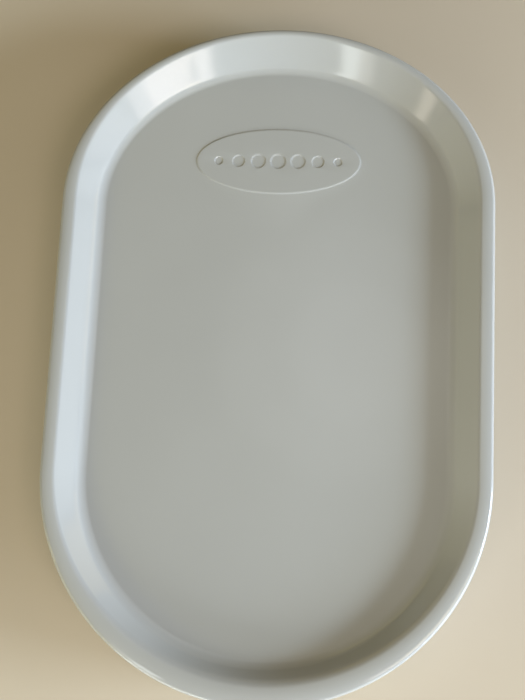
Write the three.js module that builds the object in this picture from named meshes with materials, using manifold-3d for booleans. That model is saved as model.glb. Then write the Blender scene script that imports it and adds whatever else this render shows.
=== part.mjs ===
// Changing mat: a shallow tray of self-skinned foam with a rounded oblong outline,
// resting on four round grip pads. Sizes are in millimetres. +Z is up and +Y points
// to the head end. The origin is on the ground, under the middle of the mat.

import * as THREE from 'three';
import { mergeVertices } from 'three/addons/utils/BufferGeometryUtils.js';
import Module from 'manifold-3d';

const wasm = await Module();
wasm.setup();

// Whole mat
const matLength = 700;
const matWidth = 454;
const matHeight = 75;
const headEndDepth = 193;
const footEndDepth = 224;

// Rim and hollow, from the outline inwards
const outerEdgeRadius = 4;
const landCrownAngle = 8;
const floorInset = 44.5;
const floorDepth = 21;

// The land on top of the rim, the wall inside it and the crease at the wall's foot. They have
// their side values on the straight sides and turn into the end values round each end.
const sideLandWidth = 9.5;
const headLandWidth = 2.5;
const footLandWidth = 15;
const sideInnerEdgeRadius = 7;
const headInnerEdgeRadius = 6;
const footInnerEdgeRadius = 13;
const sideWallSlope = 40;
const headWallSlope = 33;
const footWallSlope = 56;
const sideCreaseInset = 33;
const headCreaseInset = 36;
const footCreaseInset = 33.5;
const endTurnPower = 1.5;

// Outer side and underside
const sideDraft = 3;
const bottomEdgeRadius = 10;
const partingHeight = 17;

// Skins and core
const skinThickness = 2;
const fitGap = 0.3;

// Raised oval near the head end, with a row of dimples that get smaller towards its ends
const ovalLength = 176;
const ovalWidth = 72;
const ovalRise = 0.6;
const ovalEdgeRun = 2.4;
const ovalFromHeadEnd = 142;
const dimpleCount = 7;
const dimpleDiameter = 18;
const dimpleDepth = 0.6;
const dimpleTaperShare = 0.45;
const dimpleFloorShare = 0.8;
const dimpleRowMargin = 24;

// Grip pads
const padDiameter = 46;
const padThickness = 2;
const padProud = 1.2;
const padChamfer = 0.6;
const padFromSide = 78;
const padFromHeadEnd = 128;
const padFromFootEnd = 140;

// How far a cutter runs past what it cuts
const overrun = 5;

// Facets of the round stretches
const endFacets = 28;
const outerEdgeFacets = 4;
const landFacets = 2;
const innerEdgeFacets = 3;
const coveFacets = 6;
const bottomEdgeFacets = 3;
const ovalFacets = 48;
const dimpleFacets = 16;
const padFacets = 32;

const headCentreY = matLength / 2 - headEndDepth;
const footCentreY = footEndDepth - matLength / 2;
const floorHeight = matHeight - floorDepth;
const plateauHeight = floorHeight + ovalRise;
const ovalCentreY = matLength / 2 - ovalFromHeadEnd;

// The widest outline, anticlockwise from the right: half an ellipse at each end and
// straight sides between them. Each point carries its inward direction.
function outline() {

	const ends = [
		{ depth: headEndDepth, centreY: headCentreY, start: 0 },
		{ depth: footEndDepth, centreY: footCentreY, start: Math.PI }
	];
	const halfWidth = matWidth / 2;
	const points = [];

	for ( const { depth, centreY, start } of ends ) {

		for ( let i = 0; i <= endFacets; i ++ ) {

			const angle = start + Math.PI * i / endFacets;
			const across = Math.cos( angle );
			const along = Math.sin( angle );
			points.push( {
				place: new THREE.Vector2( halfWidth * across, centreY + depth * along ),
				inward: new THREE.Vector2( - depth * across, - halfWidth * along ).normalize()
			} );

		}

	}

	return points;

}

// Adds an arc to a section, from its last point. A section's points are inset and height.
// Its normal turns from one angle to the other, and a hollow arc bends towards the normal.
function addArc( section, radius, fromAngle, toAngle, facets, hollow = false ) {

	const signed = hollow ? - radius : radius;
	const from = THREE.MathUtils.degToRad( fromAngle );
	const to = THREE.MathUtils.degToRad( toAngle );
	const last = section[ section.length - 1 ];
	const centre = [ last[ 0 ] - signed * Math.cos( from ), last[ 1 ] - signed * Math.sin( from ) ];

	for ( let i = 1; i <= facets; i ++ ) {

		const angle = from + ( to - from ) * i / facets;
		section.push( [ centre[ 0 ] + signed * Math.cos( angle ), centre[ 1 ] + signed * Math.sin( angle ) ] );

	}

}

// The rim's measures where the inward direction points that far along the mat: -1 at the tip
// of the head end, 0 on the sides and 1 at the tip of the foot end
function rimAt( along ) {

	const turned = Math.abs( along ) ** endTurnPower;
	const mix = ( side, head, foot ) => THREE.MathUtils.lerp( side, along < 0 ? head : foot, turned );

	return {
		landWidth: mix( sideLandWidth, headLandWidth, footLandWidth ),
		innerEdgeRadius: mix( sideInnerEdgeRadius, headInnerEdgeRadius, footInnerEdgeRadius ),
		wallSlope: mix( sideWallSlope, headWallSlope, footWallSlope ),
		creaseInset: mix( sideCreaseInset, headCreaseInset, footCreaseInset )
	};

}

// The mat's outer section at a place of the outline, from the edge of the flat underside, out
// and up the side, over the rim and down to the edge of the flat floor
function outerSection( { landWidth, innerEdgeRadius, wallSlope, creaseInset } ) {

	const up = 90;
	const side = 180 + sideDraft;
	const landHalf = landWidth / 2;
	const landRadius = landHalf / Math.sin( THREE.MathUtils.degToRad( landCrownAngle ) );

	// From the widest line over the land and down the wall
	const rim = [ [ 0, 0 ] ];
	addArc( rim, outerEdgeRadius, 180, up + landCrownAngle, outerEdgeFacets );
	addArc( rim, landRadius, up + landCrownAngle, up - landCrownAngle, landFacets );
	addArc( rim, innerEdgeRadius, up - landCrownAngle, up - wallSlope, innerEdgeFacets );
	const wallTop = rim[ rim.length - 1 ];
	const wallRun = creaseInset - wallTop[ 0 ];
	rim.push( [ creaseInset, wallTop[ 1 ] - wallRun * Math.tan( THREE.MathUtils.degToRad( wallSlope ) ) ] );

	// The rim's top lies at the mat's height
	const lift = matHeight - Math.max( ...rim.map( ( point ) => point[ 1 ] ) );
	const raised = rim.map( ( [ inset, height ] ) => [ inset, height + lift ] );

	// The cove meets the floor smoothly
	const coveDrop = raised[ raised.length - 1 ][ 1 ] - floorHeight;
	const coveRun = floorInset - creaseInset;
	const coveTurn = 2 * Math.atan( coveDrop / coveRun );
	const coveSlope = THREE.MathUtils.radToDeg( coveTurn );
	addArc( raised, coveRun / Math.sin( coveTurn ), up - coveSlope, up, coveFacets, true );

	// The drafted side and the bottom edge
	const widest = raised[ 0 ];
	const turn = THREE.MathUtils.degToRad( sideDraft );
	const tangentHeight = padProud + bottomEdgeRadius * ( 1 - Math.sin( turn ) );
	const tangentInset = ( widest[ 1 ] - tangentHeight ) * Math.tan( turn );
	const flatInset = tangentInset + bottomEdgeRadius * Math.cos( turn );
	const bottom = [ [ flatInset, padProud ] ];
	addArc( bottom, bottomEdgeRadius, 270, side, bottomEdgeFacets );

	return [ ...bottom, ...raised ];

}

// The same section, moved into the mat by a distance
function movedIn( section, distance ) {

	const edgeNormals = section.slice( 1 ).map( ( point, i ) => {

		const run = point[ 0 ] - section[ i ][ 0 ];
		const rise = point[ 1 ] - section[ i ][ 1 ];
		return new THREE.Vector2( rise, - run ).normalize();

	} );

	return section.map( ( [ inset, height ], i ) => {

		if ( i === 0 ) return [ inset, height + distance ];
		if ( i === section.length - 1 ) return [ inset, height - distance ];
		const mitre = edgeNormals[ i - 1 ].clone().add( edgeNormals[ i ] ).normalize();
		const reach = distance / mitre.dot( edgeNormals[ i ] );
		return [ inset + mitre.x * reach, height + mitre.y * reach ];

	} );

}

// A closed mesh through rings of points, lowest first, each anticlockwise from above
function loft( rings ) {

	const count = rings[ 0 ].length;
	const positions = rings.flat().flatMap( ( point ) => point.toArray() );
	const indices = [];

	for ( let ring = 0; ring < rings.length - 1; ring ++ ) {

		for ( let i = 0; i < count; i ++ ) {

			const next = ( i + 1 ) % count;
			const a = ring * count + i;
			const b = ring * count + next;
			indices.push( a, b, b + count, a, b + count, a + count );

		}

	}

	const ends = [
		{ ring: rings[ 0 ], first: 0, turned: true },
		{ ring: rings[ rings.length - 1 ], first: ( rings.length - 1 ) * count, turned: false }
	];

	for ( const { ring, first, turned } of ends ) {

		const middle = new THREE.Box3().setFromPoints( ring ).getCenter( new THREE.Vector3() );
		const centre = positions.length / 3;
		positions.push( ...middle.toArray() );

		for ( let i = 0; i < count; i ++ ) {

			const next = ( i + 1 ) % count;
			const pair = turned ? [ first + next, first + i ] : [ first + i, first + next ];
			indices.push( centre, ...pair );

		}

	}

	const geometry = new THREE.BufferGeometry();
	geometry.setAttribute( 'position', new THREE.Float32BufferAttribute( positions, 3 ) );
	geometry.setIndex( indices );
	return geometry;

}

// The outer section carried round the mat's outline and moved in by a distance
function sweep( distance ) {

	const columns = outline().map( ( { place, inward } ) =>
		movedIn( outerSection( rimAt( inward.y ) ), distance ).map( ( [ inset, height ] ) =>
			new THREE.Vector3( place.x + inward.x * inset, place.y + inward.y * inset, height ) ) );
	return loft( columns[ 0 ].map( ( _, ring ) => columns.map( ( column ) => column[ ring ] ) ) );

}

function solidOf( geometry ) {

	const bare = geometry.clone();
	bare.deleteAttribute( 'normal' );
	bare.deleteAttribute( 'uv' );
	const merged = mergeVertices( bare );
	return new wasm.Manifold( new wasm.Mesh( {
		numProp: 3,
		vertProperties: new Float32Array( merged.attributes.position.array ),
		triVerts: new Uint32Array( merged.index.array )
	} ) );

}

function geometryOf( solid ) {

	const mesh = solid.getMesh();
	const geometry = new THREE.BufferGeometry();
	geometry.setAttribute( 'position', new THREE.Float32BufferAttribute( mesh.vertProperties, 3 ) );
	geometry.setIndex( Array.from( mesh.triVerts ) );
	return geometry;

}

// An upright round solid between two heights, whose lower end has its own diameter
function round( lowDiameter, highDiameter, low, high, facets, x, y ) {

	const geometry = new THREE.CylinderGeometry( highDiameter / 2, lowDiameter / 2, high - low, facets );
	geometry.rotateX( Math.PI / 2 );
	geometry.translate( x, y, ( low + high ) / 2 );
	return solidOf( geometry );

}

// The raised oval as a solid with a sloped edge, rooted in the mat and moved in by a distance
function ovalSolid( distance ) {

	const foot = ovalEdgeRun / 2 - distance;
	const levels = [
		{ height: floorHeight - distance - overrun, reach: foot },
		{ height: floorHeight - distance, reach: foot },
		{ height: plateauHeight - distance, reach: foot - ovalEdgeRun }
	];

	return solidOf( loft( levels.map( ( { height, reach } ) => {

		const ring = [];

		for ( let i = 0; i < ovalFacets; i ++ ) {

			const angle = 2 * Math.PI * i / ovalFacets;
			ring.push( new THREE.Vector3(
				( ovalLength / 2 + reach ) * Math.cos( angle ),
				ovalCentreY + ( ovalWidth / 2 + reach ) * Math.sin( angle ),
				height
			) );

		}

		return ring;

	} ) ) );

}

// The mat's form without its pads and dimples, moved in by a distance
function matForm( distance ) {

	return solidOf( sweep( distance ) ).add( ovalSolid( distance ) );

}

// Cutters for the dimples in the oval. Their sides slope, and their tops lie above the oval.
function dimples() {

	const halfRow = ovalLength / 2 - dimpleRowMargin;
	const low = plateauHeight - dimpleDepth;
	const high = plateauHeight + dimpleDepth;
	const cutters = [];

	for ( let i = 0; i < dimpleCount; i ++ ) {

		const side = 2 * i / ( dimpleCount - 1 ) - 1;
		const diameter = dimpleDiameter * ( 1 - dimpleTaperShare * side * side );
		const floorDiameter = diameter * dimpleFloorShare;
		const highDiameter = 2 * diameter - floorDiameter;
		cutters.push( round( floorDiameter, highDiameter, low, high, dimpleFacets, halfRow * side, ovalCentreY ) );

	}

	return cutters;

}

// Where the pads sit
const padRows = { head: matLength / 2 - padFromHeadEnd, foot: padFromFootEnd - matLength / 2 };
const padPlaces = {};

for ( const [ end, y ] of Object.entries( padRows ) ) {

	padPlaces[ `grip_pad_${ end }_left` ] = new THREE.Vector2( padFromSide - matWidth / 2, y );
	padPlaces[ `grip_pad_${ end }_right` ] = new THREE.Vector2( matWidth / 2 - padFromSide, y );

}

// The two skins, parted by the fit gap at the parting line
function skins() {

	const shell = matForm( 0 ).subtract( matForm( skinThickness ) );
	const slab = ( low, high ) => {

		const size = new THREE.Vector3( matWidth + 2 * overrun, matLength + 2 * overrun, high - low );
		const geometry = new THREE.BoxGeometry( size.x, size.y, size.z );
		geometry.translate( 0, 0, ( low + high ) / 2 );
		return solidOf( geometry );

	};

	let top = shell.intersect( slab( partingHeight + fitGap / 2, matHeight + overrun ) );
	let base = shell.intersect( slab( - overrun, partingHeight - fitGap / 2 ) );

	for ( const dimple of dimples() ) top = top.subtract( dimple );

	const pocketDiameter = padDiameter + 2 * fitGap;
	const pocketHeight = padThickness + fitGap;

	for ( const { x, y } of Object.values( padPlaces ) ) {

		base = base.subtract( round( pocketDiameter, pocketDiameter, - overrun, pocketHeight, padFacets, x, y ) );

	}

	return { top, base };

}

// A round pad with chamfered edges, lathed about its own axis
function padGeometry() {

	const radius = padDiameter / 2;
	const geometry = new THREE.LatheGeometry( [
		new THREE.Vector2( 0, 0 ),
		new THREE.Vector2( radius - padChamfer, 0 ),
		new THREE.Vector2( radius, padChamfer ),
		new THREE.Vector2( radius, padThickness ),
		new THREE.Vector2( 0, padThickness )
	], padFacets );
	geometry.rotateX( Math.PI / 2 );
	return geometryOf( solidOf( geometry ) );

}

// Finishes
const skinFinish = new THREE.MeshStandardMaterial( { color: 0xa6aca3, roughness: 0.38, metalness: 0 } );
const baseFinish = new THREE.MeshStandardMaterial( { color: 0x9ca299, roughness: 0.55, metalness: 0 } );
const foamFinish = new THREE.MeshStandardMaterial( { color: 0xc3c7bd, roughness: 0.95, metalness: 0 } );
const rubberFinish = new THREE.MeshStandardMaterial( { color: 0x5b605c, roughness: 0.8, metalness: 0 } );

const mat = new THREE.Group();

function place( name, geometry, material ) {

	const mesh = new THREE.Mesh( geometry, material );
	mesh.name = name;
	mat.add( mesh );
	return mesh;

}

const { top, base } = skins();
place( 'top_skin', geometryOf( top ), skinFinish );
place( 'foam_core', geometryOf( matForm( skinThickness + fitGap ) ), foamFinish );
place( 'base_skin', geometryOf( base ), baseFinish );

for ( const [ name, { x, y } ] of Object.entries( padPlaces ) ) {

	place( name, padGeometry(), rubberFinish ).position.set( x, y, 0 );

}

export default mat;
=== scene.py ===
# Changing mat: the finished surfaces of a soft moulded foam mat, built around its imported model.
# Sizes are in metres. +Z is up and +Y points to the head end. Each piece has its own operator,
# and the four grip pads share one.

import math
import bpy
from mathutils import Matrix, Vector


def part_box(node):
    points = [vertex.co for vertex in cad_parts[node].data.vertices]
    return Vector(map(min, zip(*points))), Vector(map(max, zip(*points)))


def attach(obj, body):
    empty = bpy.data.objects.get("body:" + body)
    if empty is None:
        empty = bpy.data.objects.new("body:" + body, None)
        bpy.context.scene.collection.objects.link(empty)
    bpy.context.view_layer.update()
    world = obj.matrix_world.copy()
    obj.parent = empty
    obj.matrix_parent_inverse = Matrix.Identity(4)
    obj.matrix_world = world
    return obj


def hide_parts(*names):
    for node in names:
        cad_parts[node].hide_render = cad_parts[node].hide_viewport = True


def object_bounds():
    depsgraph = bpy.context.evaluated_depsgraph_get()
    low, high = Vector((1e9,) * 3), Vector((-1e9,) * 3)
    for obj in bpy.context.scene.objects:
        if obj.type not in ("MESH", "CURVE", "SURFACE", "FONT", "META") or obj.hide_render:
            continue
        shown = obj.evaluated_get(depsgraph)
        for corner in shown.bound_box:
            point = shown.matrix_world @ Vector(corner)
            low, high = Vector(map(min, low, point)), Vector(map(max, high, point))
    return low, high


bl_info = {
    "name": "Changing Mat",
    "version": (1, 0, 0),
    "blender": (4, 5, 0),
    "location": "View3D > Sidebar > Changing Mat",
    "description": "Builds a soft moulded changing mat, its grip pads and a plain stage",
    "category": "Object",
}

from collections import namedtuple

import bpy
import numpy as np
from bpy.props import FloatProperty, FloatVectorProperty, IntProperty, PointerProperty
from mathutils import Matrix, Vector

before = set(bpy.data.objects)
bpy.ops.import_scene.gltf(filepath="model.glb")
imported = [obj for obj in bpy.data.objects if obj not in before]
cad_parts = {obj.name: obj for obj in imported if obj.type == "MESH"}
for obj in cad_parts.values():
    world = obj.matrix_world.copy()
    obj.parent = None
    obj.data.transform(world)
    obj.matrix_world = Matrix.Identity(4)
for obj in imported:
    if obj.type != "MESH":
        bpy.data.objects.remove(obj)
cad_low, cad_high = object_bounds()
base_low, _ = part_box("base_skin")
pad_low, pad_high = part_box("grip_pad_head_left")

PAD_NODES = [name for name in sorted(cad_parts) if name.startswith("grip_pad")]
BODY = "root"


def number_property(name, description, default, **settings):
    return FloatProperty(name=name, description=description, default=default, **settings)


def size_property(name, description, default):
    return number_property(name, description, default, min=0.0, precision=5, unit="LENGTH")


def angle_property(name, description, degrees):
    return number_property(name, description, math.radians(degrees), subtype="ANGLE")


def share_property(name, description, default):
    return number_property(name, description, default, min=0.0, max=1.0, subtype="FACTOR")


def colour_property(name, description, default):
    return FloatVectorProperty(
        name=name, description=description, default=default, size=3, min=0.0, max=1.0, subtype="COLOR"
    )


class MatSizes(bpy.types.PropertyGroup):
    """The mat's own sizes, from its outline inwards and downwards"""

    width: size_property("Width", "Over the outer sides", cad_high.x - cad_low.x)
    length: size_property("Length", "Over the two ends", cad_high.y - cad_low.y)
    top: size_property("Height", "Top of the rim above the ground", cad_high.z)
    head_end_depth: size_property("Head end depth", "Depth of the half ellipse at the head end", 0.193)
    foot_end_depth: size_property("Foot end depth", "Depth of the half ellipse at the foot end", 0.224)
    outer_edge_radius: size_property("Outer edge radius", "Rounding of the rim's outer edge", 0.004)
    land_crown: angle_property("Land crown", "Slope of the land at its two edges", 8)
    floor_inset: size_property("Floor inset", "From the outline to the flat floor", 0.0445)
    floor_depth: size_property("Floor depth", "From the rim's top down to the floor", 0.021)
    side_draft: angle_property("Side draft", "Lean of the outer side", 3)
    bottom_edge_radius: size_property("Bottom edge radius", "Rounding of the lower outer edge", 0.010)
    parting_height: size_property("Parting height", "Height of the parting line", 0.017)
    parting_edge: size_property("Parting edge", "Rounding of the skins at the parting line", 0.0004)
    skin: size_property("Skin", "Thickness of the skins", 0.002)
    fit_gap: size_property("Fit gap", "Between pieces that touch", 0.0003)


class RimSizes(bpy.types.PropertyGroup):
    """The rim's sizes on the straight sides and at the tips of the two ends"""

    side_land: size_property("Side land", "Width of the nearly level land on the sides", 0.0095)
    head_land: size_property("Head land", "Width of the land at the head end", 0.0025)
    foot_land: size_property("Foot land", "Width of the land at the foot end", 0.015)
    side_edge: size_property("Side inner edge", "Rounding from the land into the wall", 0.007)
    head_edge: size_property("Head inner edge", "The same rounding at the head end", 0.006)
    foot_edge: size_property("Foot inner edge", "The same rounding at the foot end", 0.013)
    side_slope: angle_property("Side wall slope", "Slope of the straight inner wall", 40)
    head_slope: angle_property("Head wall slope", "The same slope at the head end", 33)
    foot_slope: angle_property("Foot wall slope", "The same slope at the foot end", 56)
    side_crease: size_property("Side crease inset", "From the outline to the wall's foot", 0.033)
    head_crease: size_property("Head crease inset", "The same inset at the head end", 0.036)
    foot_crease: size_property("Foot crease inset", "The same inset at the foot end", 0.0335)
    end_turn: number_property("End turn", "How late the sides turn into the ends", 1.5, min=1.0)


class BadgeSizes(bpy.types.PropertyGroup):
    """The raised oval near the head end, with its row of dimples"""

    length: size_property("Oval length", "Across the mat", 0.176)
    width: size_property("Oval width", "Along the mat", 0.072)
    rise: size_property("Rise", "Height of the oval above the floor", 0.0006)
    edge_run: size_property("Edge run", "Width of the oval's sloped edge", 0.0024)
    from_head_end: size_property("From head end", "Oval's centre from the head end", 0.142)
    dimples: IntProperty(name="Dimples", description="Dimples in the row", default=7, min=2)
    dimple_diameter: size_property("Dimple diameter", "Diameter of the middle dimple", 0.018)
    dimple_depth: size_property("Dimple depth", "Depth of every dimple", 0.0006)
    dimple_taper: share_property("Dimple taper", "How much smaller the last dimple is", 0.45)
    row_margin: size_property("Row margin", "From the oval's end to the last dimple's centre", 0.024)


class PadSizes(bpy.types.PropertyGroup):
    """The round grip pads under the mat"""

    diameter: size_property("Pad diameter", "Over the pad", pad_high.x - pad_low.x)
    thickness: size_property("Pad thickness", "Stud tips to the top", pad_high.z - pad_low.z)
    edge: size_property("Pad edge", "The pad's rounding and its pocket's chamfer", 0.0006)
    studs: IntProperty(name="Studs", description="Studs on one pad", default=91, min=1)
    stud_diameter: size_property("Stud diameter", "Across one stud", 0.0030)
    stud_height: size_property("Stud height", "How far a stud stands out", 0.0004)
    stud_margin: size_property("Stud margin", "From the pad's edge to the outer studs", 0.0030)


class MatColours(bpy.types.PropertyGroup):
    """Colours of the finishes, as linear values"""

    skin: colour_property("Skin", "Top skin", (0.348, 0.347, 0.347))
    base: colour_property("Base", "Underside", (0.315, 0.336, 0.302))
    foam: colour_property("Foam", "Foam core", (0.560, 0.580, 0.520))
    rubber: colour_property("Rubber", "Grip pads", (0.060, 0.066, 0.062))
    floor: colour_property("Floor", "Pale stage floor", (0.470, 0.400, 0.320))


class Value:
    """A number's socket in a node tree, with Python's operators"""

    def __init__(self, graph, socket):
        self.graph = graph
        self.socket = socket

    def __add__(self, other):
        return self.graph.math("ADD", self, other)

    def __sub__(self, other):
        return self.graph.math("SUBTRACT", self, other)

    def __mul__(self, other):
        return self.graph.math("MULTIPLY", self, other)

    def __truediv__(self, other):
        return self.graph.math("DIVIDE", self, other)

    def __pow__(self, other):
        return self.graph.math("POWER", self, other)

    def __rsub__(self, other):
        return self.graph.math("SUBTRACT", other, self)

    def __rtruediv__(self, other):
        return self.graph.math("DIVIDE", other, self)

    __radd__ = __add__
    __rmul__ = __mul__

    def __neg__(self):
        return self * -1.0

    def ramp(self, low, high, start=0.0, end=1.0):
        """Start below low, end above high, and smooth between them"""
        settings = {"interpolation_type": "SMOOTHSTEP"}
        inputs = {"Value": self, "From Min": low, "From Max": high, "To Min": start, "To Max": end}
        return self.graph.value(self.graph.node("ShaderNodeMapRange", settings, inputs))


class Graph:
    """Adds nodes to one tree"""

    def __init__(self, tree):
        self.tree = tree

    def node(self, kind, settings=None, inputs=None):
        """A node of that type. Its settings come first, then the values or links of its sockets."""
        node = self.tree.nodes.new(kind)
        for name, value in (settings or {}).items():
            setattr(node, name, value)
        for key, value in (inputs or {}).items():
            self.feed(node, key, value)
        return node

    def feed(self, node, key, value):
        """Links a value to one of the node's sockets, or sets a plain one on it"""
        if isinstance(value, Value):
            self.tree.links.new(value.socket, node.inputs[key])
        elif isinstance(value, bpy.types.NodeSocket):
            self.tree.links.new(value, node.inputs[key])
        else:
            node.inputs[key].default_value = value

    def value(self, node, output=0):
        return Value(self, node.outputs[output])

    def math(self, operation, *values):
        inputs = dict(enumerate(values))
        return self.value(self.node("ShaderNodeMath", {"operation": operation}, inputs))

    def vector(self, operation, *vectors):
        node = self.node("ShaderNodeVectorMath", {"operation": operation}, dict(enumerate(vectors)))
        return node.outputs["Vector"]

    def scaled(self, vector, amount):
        inputs = {"Vector": vector, "Scale": amount}
        return self.node("ShaderNodeVectorMath", {"operation": "SCALE"}, inputs).outputs["Vector"]

    def combined(self, x, y, z):
        return self.node("ShaderNodeCombineXYZ", None, {"X": x, "Y": y, "Z": z}).outputs["Vector"]

    def parts(self, vector):
        node = self.node("ShaderNodeSeparateXYZ", None, {"Vector": vector})
        return [self.value(node, axis) for axis in ("X", "Y", "Z")]

    def mixed(self, factor, first, second):
        """A mix of two colours. The Mix node has sockets of the same names, so these are numbers."""
        inputs = {0: factor, 6: first, 7: second}
        return self.node("ShaderNodeMix", {"data_type": "RGBA"}, inputs).outputs[2]


# The section at every station of the outline. A point is a pair of arrays: its inset from the
# outline and its height above the ground.

Rim = namedtuple("Rim", "land edge slope crease")

# The angle of a normal that points up. One that points out of the mat has the angle pi.
UP = math.pi / 2

# Facets of each stretch of a section. The inside of the skins has half as many.
EDGE_FACETS, LAND_FACETS, INNER_EDGE_FACETS, WALL_FACETS, COVE_FACETS = 10, 6, 14, 6, 30
BOTTOM_FACETS, HIDDEN_BOTTOM_FACETS, CORE_BOTTOM_FACETS = 12, 5, 8
HIDDEN_DETAIL = 0.5


def rim_at(rims, along):
    """The rim's sizes where the inward direction points that far along the mat, -1 at the head"""
    turned = np.abs(along) ** rims.end_turn

    def mixed(field):
        side, head, foot = (getattr(rims, f"{place}_{field}") for place in ("side", "head", "foot"))
        return side + (np.where(along < 0, head, foot) - side) * turned

    return Rim(*(mixed(field) for field in Rim._fields))


def add_arc(section, radius, from_angle, to_angle, facets, hollow=False):
    """An arc from the section's last point, whose normal turns from one angle to the other"""
    signed = -radius if hollow else radius
    inset, height = section[-1]
    middle_inset = inset - signed * np.cos(from_angle)
    middle_height = height - signed * np.sin(from_angle)
    for i in range(1, facets + 1):
        angle = from_angle + (to_angle - from_angle) * i / facets
        across, upward = signed * np.cos(angle), signed * np.sin(angle)
        section.append((middle_inset + across, middle_height + upward))


def outer_section(sizes, rim, detail=1.0):
    """From the widest line, over the rim and down to the edge of the flat floor"""
    def facets(count):
        return round(count * detail)

    zero = np.zeros(len(rim.land))
    land_start, land_end = UP + sizes.land_crown, UP - sizes.land_crown
    land_radius = rim.land / 2 / math.sin(sizes.land_crown)
    section = [(zero, zero)]
    add_arc(section, sizes.outer_edge_radius, math.pi, land_start, facets(EDGE_FACETS))
    add_arc(section, land_radius, land_start, land_end, facets(LAND_FACETS))
    add_arc(section, rim.edge, land_end, UP - rim.slope, facets(INNER_EDGE_FACETS))
    wall_top = section[-1]
    for i in range(1, facets(WALL_FACETS) + 1):
        run = (rim.crease - wall_top[0]) * i / facets(WALL_FACETS)
        section.append((wall_top[0] + run, wall_top[1] - run * np.tan(rim.slope)))

    # The highest point of the land is put at the mat's height
    lift = sizes.top - np.max([height for _, height in section], axis=0)
    section = [(inset, height + lift) for inset, height in section]
    cove_run = sizes.floor_inset - rim.crease
    cove_drop = section[-1][1] - floor_height(sizes)
    cove_slope = 2 * np.arctan(cove_drop / cove_run)
    cove_radius = cove_run / np.sin(cove_slope)
    add_arc(section, cove_radius, UP - cove_slope, UP, facets(COVE_FACETS), hollow=True)
    return section


def floor_height(sizes):
    return sizes.top - sizes.floor_depth


def side_inset(sizes, section, height):
    """Inset of the drafted outer side at a height"""
    return (section[0][1] - height) * math.tan(sizes.side_draft)


def bottom_section(sizes, section, facets):
    """From the edge of the flat underside, round the lower edge to the drafted side"""
    radius = sizes.bottom_edge_radius
    tangent = base_low.z + radius * (1 - math.sin(sizes.side_draft))
    flat_inset = side_inset(sizes, section, tangent) + radius * math.cos(sizes.side_draft)
    bottom = [(flat_inset, np.full_like(flat_inset, base_low.z))]
    add_arc(bottom, radius, math.pi + UP, math.pi + sizes.side_draft, facets)
    return bottom


def moved_in(section, distance):
    """The section moved into the mat, with its level ends moved straight up or down"""
    points = np.array(section)
    edges = np.diff(points, axis=0)
    normals = np.stack([edges[:, 1], -edges[:, 0]], axis=1)
    normals /= np.linalg.norm(normals, axis=1)[:, None]
    mitres = normals[:-1] + normals[1:]
    mitres /= np.linalg.norm(mitres, axis=1)[:, None]
    reach = distance / (mitres * normals[1:]).sum(axis=1)
    moved = points.copy()
    moved[1:-1] += mitres * reach[:, None]
    moved[0, 1] += distance
    moved[-1, 1] -= distance
    return [tuple(point) for point in moved]


# The mat's pieces as rings round the outline, in the order that turns their faces outwards.
# A ring lies at an inset and a height. To_oval moves it from the floor's edge to the oval,
# reach grows the oval, and share shrinks it towards its middle.

Ring = namedtuple("Ring", "inset height to_oval reach share", defaults=(0.0, 0.0, 1.0))
SIDE_RINGS, FLOOR_RINGS, RISE_RINGS = 7, 10, 10
BASE_LEVEL_RINGS, HIDDEN_LEVEL_RINGS = 8, 6

# Shares of the oval where the last rings lie, before the pole in its middle
LEVEL_SHARES = (0.6, 0.2)
PLATEAU_SHARES = (0.97, 0.5)

# A rounded corner's middle point lies this share of its radius from each of its two sides
CORNER_SHARE = 0.3


def swept_rings(section):
    """Rings that follow a section"""
    return [Ring(inset, height) for inset, height in section]


def level_rings(inset, height, count):
    """Rings across a flat, from its edge to near the middle of the oval"""
    across = [Ring(inset, height, i / count) for i in range(1, count + 1)]
    return across + [Ring(inset, height, 1.0, 0.0, share) for share in LEVEL_SHARES]


def inner_section(sizes, section, distance, facets=HIDDEN_BOTTOM_FACETS):
    """The whole section moved in, as its part below the parting line and its part above"""
    bottom = bottom_section(sizes, section, facets)
    moved = moved_in(bottom + section, distance)
    return moved[:len(bottom)], moved[len(bottom):]


def smooth_share(share):
    """A share from 0 to 1 that starts and ends level"""
    return share * share * (3 - 2 * share)


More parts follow.
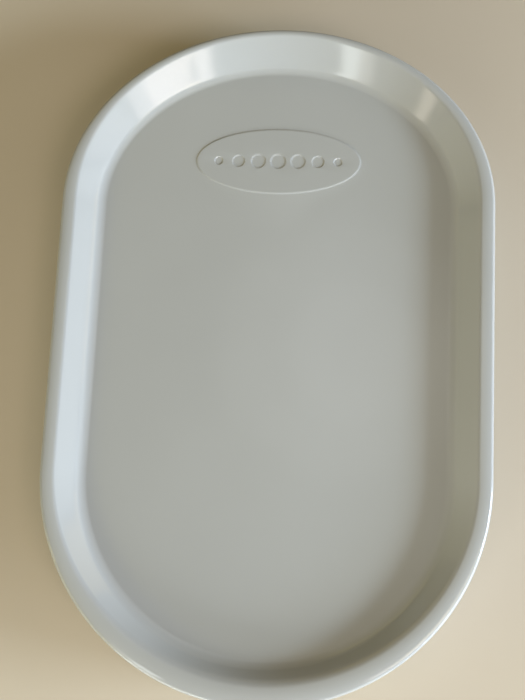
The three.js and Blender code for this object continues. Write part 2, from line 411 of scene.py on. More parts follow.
def top_skin_rings(scene, rim):
    """Out along the inside to the lower edge, then up the side and over the rim to the oval"""
    sizes, badge = scene.mat_sizes, scene.badge_sizes
    outer = outer_section(sizes, rim)
    floor_inset, floor_level = outer[-1]
    _, inner = inner_section(sizes, outer_section(sizes, rim, HIDDEN_DETAIL), sizes.skin)
    low = sizes.parting_height + sizes.fit_gap / 2
    round_off = sizes.parting_edge

    def side(height):
        return side_inset(sizes, outer, height)

    # The inside, from the middle of the floor out and down to the parting line
    underside = level_rings(*inner[-1], HIDDEN_LEVEL_RINGS)[::-1]
    inner_edge = Ring(side(low) + sizes.skin, low)

    # The lower edge and the outer side up to the widest line
    edge = [
        Ring(side(low) + round_off, low),
        Ring(side(low) + round_off * CORNER_SHARE, low + round_off * CORNER_SHARE),
        Ring(side(low + round_off), low + round_off),
    ]
    wall_low, wall_high = low + round_off * 3, outer[0][1]
    heights = [wall_low + (wall_high - wall_low) * i / SIDE_RINGS for i in range(SIDE_RINGS)]
    wall = [Ring(side(height), height) for height in heights]

    # The floor and the raised oval
    floor = [Ring(floor_inset, floor_level, i / FLOOR_RINGS) for i in range(1, FLOOR_RINGS)]
    rise = []
    for i in range(RISE_RINGS + 1):
        share = i / RISE_RINGS
        reach = badge.edge_run * (0.5 - share)
        rise.append(Ring(floor_inset, floor_level + badge.rise * smooth_share(share), 1.0, reach))
    plateau, reach = floor_level + badge.rise, -badge.edge_run / 2
    middle = [Ring(floor_inset, plateau, 1.0, reach, share) for share in PLATEAU_SHARES]

    return (
        underside
        + swept_rings(inner[::-1])
        + [inner_edge]
        + edge
        + wall
        + swept_rings(outer)
        + floor
        + rise
        + middle
    )


def base_skin_rings(scene, rim):
    """Out along the underside, up to the parting line, and back down along the inside"""
    sizes = scene.mat_sizes
    section = outer_section(sizes, rim, HIDDEN_DETAIL)
    bottom = bottom_section(sizes, section, BOTTOM_FACETS)
    inner, _ = inner_section(sizes, section, sizes.skin)
    high = sizes.parting_height - sizes.fit_gap / 2
    round_off = sizes.parting_edge

    def side(height):
        return side_inset(sizes, section, height)

    edge = [
        Ring(side(high - round_off), high - round_off),
        Ring(side(high) + round_off * CORNER_SHARE, high - round_off * CORNER_SHARE),
        Ring(side(high) + round_off, high),
        Ring(side(high) + sizes.skin, high),
    ]
    return (
        level_rings(*bottom[0], BASE_LEVEL_RINGS)[::-1]
        + swept_rings(bottom)
        + edge
        + swept_rings(inner[::-1])
        + level_rings(*inner[0], BASE_LEVEL_RINGS)
    )


def foam_core_rings(scene, rim):
    """Out along the core's underside, up its side and over the rim to the middle of its floor"""
    sizes = scene.mat_sizes
    distance = sizes.skin + sizes.fit_gap
    below, above = inner_section(sizes, outer_section(sizes, rim), distance, CORE_BOTTOM_FACETS)
    return (
        level_rings(*below[0], HIDDEN_LEVEL_RINGS)[::-1]
        + swept_rings(below + above)
        + level_rings(*above[-1], HIDDEN_LEVEL_RINGS)
    )


# Stations: the places round the outline where a ring has its points. They are picked from many
# finer steps: as many on each straight side, round the foot end, and round each half of the
# head end.

STATIONS = 640
FINE_STEPS = 1200


def outline_place(sizes, turn, foot_share, inset):
    """Points inside the outline, and the inward directions there. Turn goes round each end,
    and foot_share from the head end to the foot."""
    depth = sizes.head_end_depth + (sizes.foot_end_depth - sizes.head_end_depth) * foot_share
    head_centre = sizes.length / 2 - sizes.head_end_depth
    foot_centre = sizes.foot_end_depth - sizes.length / 2
    centre = head_centre + (foot_centre - head_centre) * foot_share
    half = sizes.width / 2
    place = np.stack([half * np.cos(turn), centre + depth * np.sin(turn)], axis=1)
    inward = np.stack([-depth * np.cos(turn), -half * np.sin(turn)], axis=1)
    inward /= np.linalg.norm(inward, axis=1)[:, None]
    return place + inward * inset, inward


def oval_centre_y(sizes, badge):
    return sizes.length / 2 - badge.from_head_end


def stations(sizes, badge, count):
    """Turns and foot shares, spread evenly along the outline and along the oval alike"""
    steps = np.linspace(0, 1, FINE_STEPS + 1)[:-1]
    ones = np.ones(FINE_STEPS)
    quarter = math.pi / 2
    stretches = [
        (quarter * (1 + steps), 0 * ones),
        (2 * quarter * ones, steps),
        (quarter * (2 + 2 * steps), ones),
        (4 * quarter * ones, 1 - steps),
        (quarter * (4 + steps), 0 * ones),
        ([5 * quarter], [0.0]),
    ]
    turn, foot_share = (np.concatenate(column) for column in zip(*stretches))
    outline, _ = outline_place(sizes, turn, foot_share, 0.0)
    floor, _ = outline_place(sizes, turn, foot_share, sizes.floor_inset)
    away = floor - [0.0, oval_centre_y(sizes, badge)]
    scale = 1 / np.hypot(away[:, 0] / (badge.length / 2), away[:, 1] / (badge.width / 2))
    along = np.zeros(len(turn))
    for curve in (outline, away * scale[:, None]):
        lengths = np.linalg.norm(np.diff(curve, axis=0), axis=1)
        along[1:] += np.cumsum(lengths) / lengths.sum() / 2
    wanted = np.arange(count) / count
    return np.interp(wanted, along, turn), np.interp(wanted, along, foot_share)


def ring_faces(ring_count, count):
    """Faces between rings of points, and fans to the two poles that come after them"""
    faces = []
    for ring in range(ring_count - 1):
        for i in range(count):
            a, b = ring * count + i, ring * count + (i + 1) % count
            faces.append((a, b, b + count, a + count))
    first_pole, last = ring_count * count, (ring_count - 1) * count
    for i in range(count):
        following = (i + 1) % count
        faces.append((first_pole, following, i))
        faces.append((first_pole + 1, last + i, last + following))
    return faces


def ring_mesh(name, rings, turn, foot_share):
    """A closed mesh of rings and two poles, whose points carry what the sweep reads"""
    count = len(turn)
    mesh = bpy.data.meshes.new(name)
    unplaced = [(0.0, 0.0, 0.0)] * (len(rings) * count + 2)
    mesh.from_pydata(unplaced, [], ring_faces(len(rings), count))
    poles = [rings[0]._replace(to_oval=1.0, share=0.0), rings[-1]._replace(to_oval=1.0, share=0.0)]
    for field in Ring._fields:
        rows = [np.broadcast_to(getattr(ring, field), count) for ring in rings]
        ends = [[np.mean(getattr(pole, field))] for pole in poles]
        write_attribute(mesh, field, np.concatenate(rows + ends))
    write_attribute(mesh, "turn", np.concatenate([np.tile(turn, len(rings)), [0.0, 0.0]]))
    write_attribute(mesh, "foot_share", np.concatenate([np.tile(foot_share, len(rings)), [0.0, 0.0]]))
    return mesh


def write_attribute(mesh, name, numbers):
    attribute = mesh.attributes.new(name, "FLOAT", "POINT")
    attribute.data.foreach_set("value", np.asarray(numbers, dtype=np.float32))


# Geometry node trees

def new_geometry_tree(name, inputs):
    """A geometry tree with named inputs, its graph, its input sockets and their identifiers"""
    tree = bpy.data.node_groups.new(name, "GeometryNodeTree")
    tree.is_modifier = True
    identifiers = {}
    for label, kind in {"Geometry": "NodeSocketGeometry", **inputs}.items():
        socket = tree.interface.new_socket(name=label, in_out="INPUT", socket_type=kind)
        identifiers[label] = socket.identifier
    tree.interface.new_socket(name="Geometry", in_out="OUTPUT", socket_type="NodeSocketGeometry")
    graph = Graph(tree)
    return tree, graph, graph.node("NodeGroupInput").outputs, identifiers


def end_tree(graph, geometry, material):
    """Realize Instances and Set Material, then the output"""
    for kind in ("GeometryNodeRealizeInstances", "GeometryNodeSetShadeSmooth"):
        geometry = graph.node(kind, None, {"Geometry": geometry}).outputs["Geometry"]
    inputs = {"Geometry": geometry, "Material": material}
    finished = graph.node("GeometryNodeSetMaterial", None, inputs)
    graph.node("NodeGroupOutput", None, {"Geometry": finished.outputs["Geometry"]})


def run_tree(piece, tree, identifiers, values):
    """Runs the tree on the piece once and keeps the plain mesh that comes out"""
    modifier = piece.modifiers.new(tree.name, "NODES")
    modifier.node_group = tree
    for label, value in values.items():
        modifier[identifiers[label]] = value
    make_plain(piece)


def make_plain(piece):
    """Keeps the evaluated mesh and removes every modifier"""
    depsgraph = bpy.context.evaluated_depsgraph_get()
    mesh = bpy.data.meshes.new_from_object(piece.evaluated_get(depsgraph), depsgraph=depsgraph)
    piece.modifiers.clear()
    piece.data = mesh
    mesh.name = piece.name


def moved_to(graph, geometry, position):
    inputs = {"Geometry": geometry, "Position": position}
    return graph.node("GeometryNodeSetPosition", None, inputs).outputs["Geometry"]


def placed_copies(graph, copied, count, place, scale=(1.0, 1.0, 1.0)):
    """That many copies of an object, each at the place and scale that its index gives"""
    points = graph.node("GeometryNodePoints", None, {"Count": count})
    source = graph.node("GeometryNodeObjectInfo", None, {"Object": copied})
    copies = graph.node("GeometryNodeInstanceOnPoints", None, {
        "Points": moved_to(graph, points.outputs[0], place),
        "Instance": source.outputs["Geometry"],
        "Scale": scale,
    })
    return copies.outputs["Instances"]


def sweep_tree():
    """Places every point of a ring mesh: the outline's rule, its inward offset and the oval's"""
    lengths = ["Width", "Length", "Head End Depth", "Foot End Depth", "Floor Inset"]
    lengths += ["Oval Centre", "Oval Length", "Oval Width"]
    kinds = {**{label: "NodeSocketFloat" for label in lengths}, "Material": "NodeSocketMaterial"}
    tree, graph, given, identifiers = new_geometry_tree("Mat Sweep", kinds)
    width, length, head, foot, floor_inset, oval_y, oval_length, oval_width = (
        Value(graph, given[label]) for label in lengths
    )

    def attribute(name):
        node = graph.node("GeometryNodeInputNamedAttribute", {"data_type": "FLOAT"}, {"Name": name})
        return graph.value(node, "Attribute")

    turn, foot_share = attribute("turn"), attribute("foot_share")
    across, along = graph.math("COSINE", turn), graph.math("SINE", turn)
    depth = head + (foot - head) * foot_share
    head_centre = length * 0.5 - head
    centre = head_centre + (foot - length * 0.5 - head_centre) * foot_share
    half = width * 0.5
    place = graph.combined(half * across, centre + depth * along, 0.0)
    inward = graph.vector("NORMALIZE", graph.combined(-(depth * across), -(half * along), 0.0))
    swept = graph.vector("ADD", place, graph.scaled(inward, attribute("inset")))

    floor = graph.vector("ADD", place, graph.scaled(inward, floor_inset))
    middle = graph.combined(0.0, oval_y, 0.0)
    away = graph.vector("SUBTRACT", floor, middle)
    away_x, away_y, _ = graph.parts(away)
    reach = attribute("reach")
    x_share = away_x / (oval_length * 0.5 + reach)
    y_share = away_y / (oval_width * 0.5 + reach)
    scale = attribute("share") / (x_share * x_share + y_share * y_share) ** 0.5
    on_oval = graph.vector("ADD", middle, graph.scaled(away, scale))

    to_oval = attribute("to_oval")
    kept = graph.scaled(swept, 1 - to_oval)
    level = graph.vector("ADD", kept, graph.scaled(on_oval, to_oval))
    height = graph.combined(0.0, 0.0, attribute("height"))
    position = graph.vector("ADD", level, height)
    end_tree(graph, moved_to(graph, given["Geometry"], position), given["Material"])
    return tree, identifiers


def sweep_piece(name, ring_rule, scene, material, count):
    """A piece whose rings, made by that rule, are swept round the mat's outline"""
    sizes, badge = scene.mat_sizes, scene.badge_sizes
    turn, foot_share = stations(sizes, badge, count)
    _, inward = outline_place(sizes, turn, foot_share, 0.0)
    rings = ring_rule(scene, rim_at(scene.rim_sizes, inward[:, 1]))
    piece = new_piece(name, ring_mesh(name, rings, turn, foot_share))
    tree, identifiers = sweep_tree()
    values = {
        "Width": sizes.width,
        "Length": sizes.length,
        "Head End Depth": sizes.head_end_depth,
        "Foot End Depth": sizes.foot_end_depth,
        "Floor Inset": sizes.floor_inset,
        "Oval Centre": oval_centre_y(sizes, badge),
        "Oval Length": badge.length,
        "Oval Width": badge.width,
        "Material": material,
    }
    run_tree(piece, tree, identifiers, values)
    for name in (*Ring._fields, "turn", "foot_share"):
        piece.data.attributes.remove(piece.data.attributes[name])
    return piece


def dimple_tree():
    """Cuts a row of dimples, which get smaller towards its two ends"""
    kinds = {
        "Cutter": "NodeSocketObject",
        "Count": "NodeSocketInt",
        "Half Row": "NodeSocketFloat",
        "Middle": "NodeSocketVector",
        "Taper": "NodeSocketFloat",
        "Material": "NodeSocketMaterial",
    }
    tree, graph, given, identifiers = new_geometry_tree("Dimple Row", kinds)
    index = graph.value(graph.node("GeometryNodeInputIndex"))
    offset = index / (Value(graph, given["Count"]) - 1) * 2 - 1
    across = graph.combined(offset * Value(graph, given["Half Row"]), 0.0, 0.0)
    place = graph.vector("ADD", given["Middle"], across)
    size = 1 - Value(graph, given["Taper"]) * offset * offset
    scale = graph.combined(size, size, 1.0)
    row = placed_copies(graph, given["Cutter"], given["Count"], place, scale)
    cutters = graph.node("GeometryNodeRealizeInstances", None, {"Geometry": row})
    cut = graph.node("GeometryNodeMeshBoolean", {"operation": "DIFFERENCE", "solver": "EXACT"}, {
        "Mesh 1": given["Geometry"], "Mesh 2": cutters.outputs["Geometry"],
    })
    end_tree(graph, cut.outputs["Mesh"], given["Material"])
    return tree, identifiers


def stud_tree():
    """Joins studs to the pad that is given, spread as a sunflower's seeds are"""
    kinds = {
        "Stud": "NodeSocketObject",
        "Studs": "NodeSocketInt",
        "Reach": "NodeSocketFloat",
        "Middle": "NodeSocketVector",
        "Material": "NodeSocketMaterial",
    }
    tree, graph, given, identifiers = new_geometry_tree("Pad Studs", kinds)
    golden_angle = math.pi * (3 - math.sqrt(5))
    index = graph.value(graph.node("GeometryNodeInputIndex"))
    radius = ((index + 0.5) / Value(graph, given["Studs"])) ** 0.5 * Value(graph, given["Reach"])
    angle = index * golden_angle
    across, along = radius * graph.math("COSINE", angle), radius * graph.math("SINE", angle)
    place = graph.vector("ADD", given["Middle"], graph.combined(across, along, 0.0))
    studs = placed_copies(graph, given["Stud"], given["Studs"], place)
    joined = graph.node("GeometryNodeJoinGeometry")
    graph.feed(joined, "Geometry", studs)
    graph.feed(joined, "Geometry", given["Geometry"])
    end_tree(graph, joined.outputs["Geometry"], given["Material"])
    return tree, identifiers


# Small round shapes. A dimple's shares are of its radius: its flat bottom, and the slope from
# there to just past its edge. A stud's profile goes from its tip up into the pad, in shares of
# its radius and its height.

DIMPLE_STEPS, PAD_EDGE_FACETS = 12, 4
DIMPLE_FACETS, PAD_FACETS, STUD_FACETS = 48, 96, 10
DIMPLE_BOTTOM_SHARE, DIMPLE_SLOPE_SHARE, DIMPLE_OVERSHOOT = 0.72, 0.3, 1.01
STUD_PROFILE = ((0.0, 0.0), (0.45, 0.0), (0.8, 0.25), (1.0, 0.8), (1.0, 1.5), (0.0, 1.5))


def new_piece(name, mesh):
    """An object at the origin, in the scene"""
    piece = bpy.data.objects.new(name, mesh)
    bpy.context.scene.collection.objects.link(piece)
    return piece


def lathe_mesh(name, profile, facets, centre=(0.0, 0.0)):
    """A closed solid turned about an upright axis. The profile goes up, on and off the axis."""
    rings = profile[1:-1]
    angles = [2 * math.pi * i / facets for i in range(facets)]
    verts = []
    for radius, height in rings:
        for angle in angles:
            x = centre[0] + radius * math.cos(angle)
            y = centre[1] + radius * math.sin(angle)
            verts.append((x, y, height))
    verts += [(*centre, profile[0][1]), (*centre, profile[-1][1])]
    mesh = bpy.data.meshes.new(name)
    mesh.from_pydata(verts, [], ring_faces(len(rings), facets))
    mesh.update()
    return mesh


def dimple_mesh(badge):
    """A cutter for one dimple, whose slope ends just above height 0, at a low angle"""
    radius, depth = badge.dimple_diameter / 2, badge.dimple_depth
    profile = [(0.0, -depth)]
    for i in range(DIMPLE_STEPS + 1):
        share = i / DIMPLE_STEPS
        across = DIMPLE_BOTTOM_SHARE + DIMPLE_SLOPE_SHARE * share
        height = depth * DIMPLE_OVERSHOOT * smooth_share(share) - depth
        profile.append((radius * across, height))
    profile += [(profile[-1][0], depth), (0.0, depth)]
    return lathe_mesh("dimple_cutter", profile, DIMPLE_FACETS)


def pad_centre(node):
    low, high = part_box(node)
    return ((low.x + high.x) / 2, (low.y + high.y) / 2)


def pocket_mesh(node, sizes, pads):
    """A cutter for one grip pad's pocket, with a chamfer at its mouth"""
    radius = pads.diameter / 2 + sizes.fit_gap
    mouth, ceiling = base_low.z, pads.thickness + sizes.fit_gap
    profile = [
        (0.0, -pads.edge),
        (radius + pads.edge * 2 + mouth, -pads.edge),
        (radius, mouth + pads.edge),
        (radius, ceiling),
        (0.0, ceiling),
    ]
    return lathe_mesh(f"{node}_pocket", profile, PAD_FACETS, pad_centre(node))


def pad_mesh(node, pads):
    """One pad's disc, above its studs, with a rounded lower edge"""
    radius, low = pads.diameter / 2, pads.stud_height
    profile = [(0.0, low)]
    for i in range(PAD_EDGE_FACETS + 1):
        angle = math.pi / 2 * i / PAD_EDGE_FACETS
        across = radius - pads.edge * (1 - math.sin(angle))
        profile.append((across, low + pads.edge * (1 - math.cos(angle))))
    profile += [(radius, pads.thickness), (0.0, pads.thickness)]
    return lathe_mesh(node, profile, PAD_FACETS, pad_centre(node))


def stud_mesh(pads):
    """One stud: a low dome that stands down from the pad to the ground"""
    radius, height = pads.stud_diameter / 2, pads.stud_height
    profile = [(radius * across, height * upward) for across, upward in STUD_PROFILE]
    return lathe_mesh("stud", profile, STUD_FACETS)


def dress(piece, node):
    """The piece rides on the mat and stands for its node"""
    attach(piece, BODY)
    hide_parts(node)


def mark_sharp(mesh, degrees):
    """Marks edges whose two faces meet at more than that angle"""
    mesh.shade_smooth()
    mesh.set_sharp_from_angle(angle=math.radians(degrees))


# Finishes

def new_material(name, colour, roughness, specular):
    """A material with one shader, its graph, its shader and the piece's Object coordinates"""
    material = bpy.data.materials.new(name)
    material.use_nodes = True
    material.node_tree.nodes.clear()
    graph = Graph(material.node_tree)
    shader = graph.node("ShaderNodeBsdfPrincipled", None, {
        "Base Color": (*colour, 1.0), "Roughness": roughness, "Specular IOR Level": specular,
    })
    graph.node("ShaderNodeOutputMaterial", None, {"Surface": shader.outputs["BSDF"]})
    place = graph.node("ShaderNodeTexCoord").outputs["Object"]
    return material, graph, shader, place


def noise(graph, place, size, detail=2.0, roughness=0.5):
    """A noise from 0 to 1, whose features are about that many metres across"""
    inputs = {"Vector": place, "Scale": 1 / size, "Detail": detail, "Roughness": roughness}
    return graph.value(graph.node("ShaderNodeTexNoise", None, inputs))


def cells(graph, place, per_metre):
    """Cells in every direction. The value grows from each one's middle to its edge."""
    inputs = {"Vector": place, "Scale": per_metre}
    return graph.value(graph.node("ShaderNodeTexVoronoi", None, inputs), "Distance")


def bumped(graph, shader, relief):
    """Tilts the shader's normal by a relief in metres"""
    bump = graph.node("ShaderNodeBump", None, {"Strength": 1.0, "Distance": 1.0, "Height": relief})
    graph.feed(shader, "Normal", bump.outputs["Normal"])


def tinted(graph, shader, factor, colour, dark, light):
    """Mixes two tints of the colour, given as its multiples, over the surface"""
    tints = [(*(channel * amount for channel in colour), 1.0) for amount in (dark, light)]
    graph.feed(shader, "Base Color", graph.mixed(factor, *tints))


def skin_finish(colours):
    """Satin moulded skin: faint mottling, patches of softer gloss, broad waves and orange peel"""
    wave_height, peel_height = 0.0005, 0.000006
    colour = tuple(colours.skin)
    material, graph, shader, place = new_material("moulded_skin", colour, roughness=0.3, specular=0.5)
    mottle = noise(graph, place, size=0.22, detail=3.0).ramp(low=0.3, high=0.7)
    tinted(graph, shader, mottle, colour, dark=0.985, light=1.015)
    patches = noise(graph, place, size=0.15, detail=1.0)
    graph.feed(shader, "Roughness", patches.ramp(low=0.3, high=0.75, start=0.09, end=0.12))
    waves = noise(graph, place, size=0.12, detail=1.0) * wave_height
    peel = noise(graph, place, size=0.0016) * peel_height
    bumped(graph, shader, waves + peel)
    return material


def base_finish(colours):
    """Matt underside with a fine pebbled texture on broad waves"""
    pebble_height, wave_height = 0.00012, 0.0004
    colour = tuple(colours.base)
    material, graph, shader, place = new_material("pebbled_base", colour, roughness=0.6, specular=0.4)
    mottle = noise(graph, place, size=0.05, detail=4.0).ramp(low=0.3, high=0.7)
    tinted(graph, shader, mottle, colour, dark=0.96, light=1.03)
    valleys = cells(graph, place, per_metre=420.0).ramp(low=0.1, high=0.7)
    waves = noise(graph, place, size=0.1, detail=1.0) * wave_height
    bumped(graph, shader, waves - valleys * pebble_height)
    graph.feed(shader, "Roughness", valleys.ramp(low=0.0, high=1.0, start=0.52, end=0.7))
    return material


def foam_finish(colours):
    """Open-cell foam: small round cells of two sizes, with painted shade darkening their hollow middles
    """
    cell_depth = 0.0004
    colour = tuple(colours.foam)
    material, graph, shader, place = new_material("open_cell_foam", colour, roughness=0.95, specular=0.2)
    small = cells(graph, place, per_metre=900.0).ramp(low=0.15, high=0.6)
    large = cells(graph, place, per_metre=340.0).ramp(low=0.05, high=0.35)
    cell_relief_and_pore_shade = small * large
    # Painted shade: the same relief tints the cells' hollow middles darker, as shade in the pores
    tinted(graph, shader, cell_relief_and_pore_shade, colour, dark=0.72, light=1.05)
    bumped(graph, shader, cell_relief_and_pore_shade * cell_depth)
    return material


def rubber_finish(colours):
    """Matt non-slip rubber with a fine grain and pale patches of dust"""
    grain_height, dust_share = 0.00004, 0.35
    colour = tuple(colours.rubber)
    material, graph, shader, place = new_material("grip_rubber", colour, roughness=0.8, specular=0.3)
    grain = noise(graph, place, size=0.0012, detail=3.0)
    dust = noise(graph, place, size=0.012, detail=4.0, roughness=0.65).ramp(low=0.5, high=0.8)
    tinted(graph, shader, dust * dust_share, colour, dark=1.0, light=2.2)
    graph.feed(shader, "Roughness", grain.ramp(low=0.3, high=0.7, start=0.7, end=0.9))
    bumped(graph, shader, grain * grain_height)
    return material


def floor_finish(colours):
    """Plain pale floor with a barely rough surface"""
    grain_height = 0.00002
    colour = tuple(colours.floor)
    material, graph, shader, place = new_material("pale_floor", colour, roughness=0.6, specular=0.3)
    bumped(graph, shader, noise(graph, place, size=0.004) * grain_height)
    return material


# Operators

# Edges whose faces meet at more than these angles are sharp
SHARP_DEGREES, BASE_SHARP_DEGREES = 50, 35


class CHANGING_MAT_OT_top_skin(bpy.types.Operator):
    """Build the wipe-clean skin, from its side over the rim to the floor and its raised oval"""

    bl_idname = "changing_mat.top_skin"
    bl_label = "Top Skin"
    bl_options = {"REGISTER", "UNDO"}

    def execute(self, context):
        scene = context.scene
        sizes, badge = scene.mat_sizes, scene.badge_sizes
        material = skin_finish(scene.mat_colours)
        skin = sweep_piece("moulded_top_skin", top_skin_rings, scene, material, STATIONS)
        plateau = floor_height(sizes) + badge.rise
        cutter = new_piece("dimple_cutter", dimple_mesh(badge))
        tree, identifiers = dimple_tree()
        run_tree(skin, tree, identifiers, {
            "Cutter": cutter,
            "Count": badge.dimples,
            "Half Row": badge.length / 2 - badge.row_margin,
            "Middle": (0.0, oval_centre_y(sizes, badge), plateau),
            "Taper": badge.dimple_taper,
            "Material": material,
        })
        bpy.data.objects.remove(cutter)
        mark_sharp(skin.data, SHARP_DEGREES)
        dress(skin, "top_skin")
        return {"FINISHED"}


class CHANGING_MAT_OT_foam_core(bpy.types.Operator):
    """Build the soft foam inside the skins"""

    bl_idname = "changing_mat.foam_core"
    bl_label = "Foam Core"
    bl_options = {"REGISTER", "UNDO"}

    def execute(self, context):
        scene = context.scene
        material = foam_finish(scene.mat_colours)
        core = sweep_piece("soft_foam_core", foam_core_rings, scene, material, STATIONS // 2)
        mark_sharp(core.data, SHARP_DEGREES)
        dress(core, "foam_core")
        return {"FINISHED"}


class CHANGING_MAT_OT_base_skin(bpy.types.Operator):
    """Build the underside's skin, with a pocket for each grip pad"""

    bl_idname = "changing_mat.base_skin"
    bl_label = "Base Skin"
    bl_options = {"REGISTER", "UNDO"}

    def execute(self, context):
        scene = context.scene
        sizes, pads = scene.mat_sizes, scene.pad_sizes
        material = base_finish(scene.mat_colours)
        skin = sweep_piece("moulded_base_skin", base_skin_rings, scene, material, STATIONS // 2)
        cutters = []
        for node in PAD_NODES:
            cutters.append(new_piece(f"{node}_pocket", pocket_mesh(node, sizes, pads)))
            cut = skin.modifiers.new(node, "BOOLEAN")
            cut.object = cutters[-1]
            cut.solver = "EXACT"
        make_plain(skin)
        for cutter in cutters:
            bpy.data.objects.remove(cutter)
        mark_sharp(skin.data, BASE_SHARP_DEGREES)
        dress(skin, "base_skin")
        return {"FINISHED"}


class CHANGING_MAT_OT_grip_pads(bpy.types.Operator):
    """Build the round rubber pads with their studs"""

    bl_idname = "changing_mat.grip_pads"
    bl_label = "Grip Pads"
    bl_options = {"REGISTER", "UNDO"}

    def execute(self, context):
        pads = context.scene.pad_sizes
        material = rubber_finish(context.scene.mat_colours)
        stud = new_piece("stud", stud_mesh(pads))
        tree, identifiers = stud_tree()
        for node in PAD_NODES:
            x, y = pad_centre(node)
            pad = new_piece(node.replace("grip_pad", "rubber_pad"), pad_mesh(node, pads))
            run_tree(pad, tree, identifiers, {
                "Stud": stud,
                "Studs": pads.studs,
                "Reach": pads.diameter / 2 - pads.stud_margin,
                "Middle": (x, y, 0.0),
                "Material": material,
            })
            mark_sharp(pad.data, SHARP_DEGREES)
            dress(pad, node)
        bpy.data.objects.remove(stud)
        return {"FINISHED"}


# The stage. Each light is a flat soft panel on a dome round the mat, or further off. Its place
# and its two sizes are in degrees as seen from the mat, with azimuth 0 to the right and 90 at
# the head end. Glow is a rectangular one's radiance.

DOME_RADIUS = 2.5
FAR = 4.0
Panel = namedtuple("Panel", "name azimuth elevation across upward glow distance shape",
                   defaults=(DOME_RADIUS, "RECTANGLE"))
PANELS = [
    Panel("low_window", -11, 18.5, 17, 8, (65.0, 79.0, 90.0), FAR),
    Panel("low_window_foot", -24, 11, 50, 7, (18.5, 22.0, 26.0), FAR),
    Panel("low_window_side", -32, 19, 20, 8, (12.0, 12.5, 12.5), FAR),
    Panel("front_window", 254, 13, 50, 14, (11.6, 12.2, 11.2)),
    Panel("front_window_top", 258, 36, 44, 10, (2.2, 2.3, 2.4)),
    Panel("front_wall", 213, 25, 30, 8, (6.8, 6.2, 2.0)),
    Panel("right_pane_side", -31.5, 50, 5.8, 12, (3.4, 3.1, 3.0)),
    Panel("right_pane_wide", -47.3, 53, 13.8, 12, (7.0, 6.1, 5.7)),
    Panel("right_pane_narrow", -64.6, 56, 3.5, 11, (7.2, 6.6, 6.4)),
    Panel("right_pane_top", -40, 61, 22, 4, (6.5, 5.6, 4.0)),
    Panel("front_pane_bright", 235.5, 54, 4.1, 11, (6.6, 7.0, 6.9)),
    Panel("front_pane_dim", 229, 52, 3.5, 11, (3.0, 2.9, 2.7)),
    Panel("left_pane", 202.5, 42, 4, 8, (4.8, 4.3, 3.6)),
    Panel("right_glow", 12, 29, 24, 9, (1.4, 1.5, 1.5)),
    Panel("corner_glow", -7, 42, 26, 12, (1.0, 1.0, 1.0)),
    Panel("right_wall", 27, 16, 38, 14, (1.4, 1.0, 0.3)),
    Panel("left_wall", 175, 24, 36, 30, (0.4, 0.37, 0.22)),
    Panel("far_wall", 135, 36, 32, 24, (0.7, 0.6, 0.25)),
    Panel("head_wall", 85, 28, 44, 24, (0.35, 0.3, 0.15)),
    Panel("ceiling", 90, 88, 60, 60, (0.24, 0.22, 0.13)),
    Panel("ceiling_lamp", 82, 80, 20, 20, (0.4, 0.4, 0.4), shape="ELLIPSE"),
    Panel("ceiling_lamp_middle", 75, 80, 11, 11, (0.4, 0.4, 0.4), shape="ELLIPSE"),
]
# The room is pale near the horizon and dim above it. The two heights are sines of elevations.
HORIZON_COLOUR = (0.42, 0.40, 0.36)
ROOM_COLOUR = (0.06, 0.055, 0.035)
HORIZON_TOP, DIM_FROM = 0.04, 0.2
FLOOR_HALF = 4.0

# The camera stands where the photograph's outline puts it, above the foot end.
# Its focal length is 1000 pixels in a picture 700 pixels high.
SENSOR = 36.0
FOCAL_SHARE = 1000 / 700
CAMERA_PLACE = Vector((0.08375, -0.1753, 1.0721))
CAMERA_TILT, CAMERA_ROLL, CAMERA_TURN = 0.1755, 0.0823, 0.0319


def add_floor(scene):
    half = FLOOR_HALF
    corners = [(-half, -half, 0.0), (half, -half, 0.0), (half, half, 0.0), (-half, half, 0.0)]
    floor = new_piece("floor", bpy.data.meshes.new("floor"))
    floor.data.from_pydata(corners, [], [(0, 1, 2, 3)])
    floor.data.materials.append(floor_finish(scene.mat_colours))


def add_panel(scene, panel):
    """A light that faces the mat from its place on the dome and isn't seen itself"""
    width = panel.distance * math.radians(panel.across)
    height = panel.distance * math.radians(panel.upward)
    light = bpy.data.lights.new(panel.name, "AREA")
    light.shape = panel.shape
    light.size, light.size_y = width, height
    light.energy = math.pi * width * height
    light.color = panel.glow
    lamp = bpy.data.objects.new(panel.name, light)
    scene.collection.objects.link(lamp)
    facing = Matrix.Rotation(math.radians(panel.azimuth), 4, "Z")
    facing @= Matrix.Rotation(-math.radians(panel.elevation), 4, "Y")
    upright = Matrix.Rotation(math.pi / 2, 4, "Z") @ Matrix.Rotation(math.pi / 2, 4, "X")
    lamp.matrix_world = facing @ Matrix.Translation((panel.distance, 0.0, 0.0)) @ upright
    lamp.visible_camera = False


def add_world(scene):
    world = bpy.data.worlds.new("soft_room")
    world.use_nodes = True
    graph = Graph(world.node_tree)
    _, _, upward = graph.parts(graph.node("ShaderNodeTexCoord").outputs["Object"])
    dimness = upward.ramp(HORIZON_TOP, DIM_FROM)
    colour = graph.mixed(dimness, (*HORIZON_COLOUR, 1.0), (*ROOM_COLOUR, 1.0))
    graph.feed(world.node_tree.nodes["Background"], "Color", colour)
    scene.world = world
    scene.view_settings.view_transform = "Standard"


def add_camera(scene):
    camera = bpy.data.cameras.new("camera")
    camera.sensor_width = SENSOR
    camera.lens = SENSOR * FOCAL_SHARE
    holder = bpy.data.objects.new("camera", camera)
    scene.collection.objects.link(holder)
    turn = Matrix.Rotation(CAMERA_TURN, 4, "Z")
    tilt = Matrix.Rotation(CAMERA_TILT, 4, "X")
    roll = Matrix.Rotation(CAMERA_ROLL, 4, "Y")
    holder.matrix_world = Matrix.Translation(CAMERA_PLACE) @ turn @ tilt @ roll
    scene.camera = holder


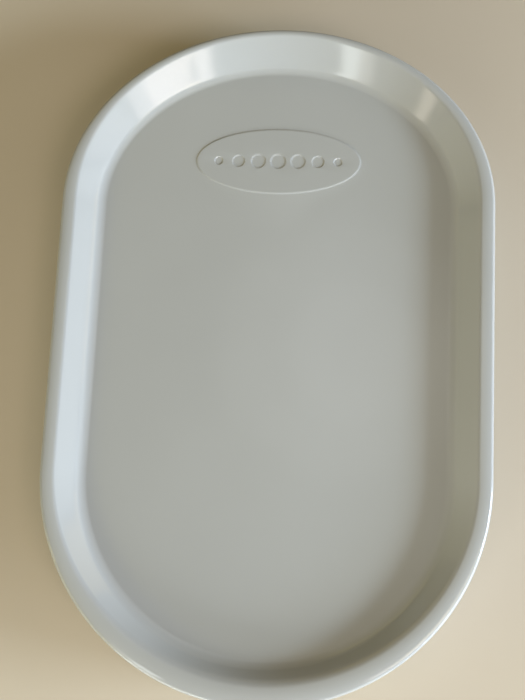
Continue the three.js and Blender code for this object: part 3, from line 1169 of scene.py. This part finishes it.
class CHANGING_MAT_OT_stage(bpy.types.Operator):
    """Set up the pale floor, the soft light and the camera"""

    bl_idname = "changing_mat.stage"
    bl_label = "Stage"
    bl_options = {"REGISTER", "UNDO"}

    def execute(self, context):
        add_floor(context.scene)
        for panel in PANELS:
            add_panel(context.scene, panel)
        add_world(context.scene)
        add_camera(context.scene)
        return {"FINISHED"}


OPERATORS = (
    CHANGING_MAT_OT_stage,
    CHANGING_MAT_OT_top_skin,
    CHANGING_MAT_OT_foam_core,
    CHANGING_MAT_OT_base_skin,
    CHANGING_MAT_OT_grip_pads,
)


class CHANGING_MAT_PT_panel(bpy.types.Panel):
    """Lists the mat's sizes and the operators that build it"""

    bl_label = "Changing Mat"
    bl_idname = "CHANGING_MAT_PT_panel"
    bl_space_type = "VIEW_3D"
    bl_region_type = "UI"
    bl_category = "Changing Mat"

    def draw(self, context):
        for operator in OPERATORS:
            self.layout.operator(operator.bl_idname)
        for group_name in PROPERTY_GROUPS.values():
            box = self.layout.box()
            settings = getattr(context.scene, group_name)
            for name in settings.bl_rna.properties.keys():
                if name not in ("rna_type", "name"):
                    box.prop(settings, name)


PROPERTY_GROUPS = {
    MatSizes: "mat_sizes",
    RimSizes: "rim_sizes",
    BadgeSizes: "badge_sizes",
    PadSizes: "pad_sizes",
    MatColours: "mat_colours",
}


def register():
    for group, name in PROPERTY_GROUPS.items():
        bpy.utils.register_class(group)
        setattr(bpy.types.Scene, name, PointerProperty(type=group))
    for cls in (*OPERATORS, CHANGING_MAT_PT_panel):
        bpy.utils.register_class(cls)


def unregister():
    for cls in (CHANGING_MAT_PT_panel, *reversed(OPERATORS)):
        bpy.utils.unregister_class(cls)
    for group, name in reversed(PROPERTY_GROUPS.items()):
        delattr(bpy.types.Scene, name)
        bpy.utils.unregister_class(group)


def main():
    register()
    bpy.ops.changing_mat.stage()
    bpy.ops.changing_mat.top_skin()
    bpy.ops.changing_mat.foam_core()
    bpy.ops.changing_mat.base_skin()
    bpy.ops.changing_mat.grip_pads()


if __name__ == "__main__":
    main()
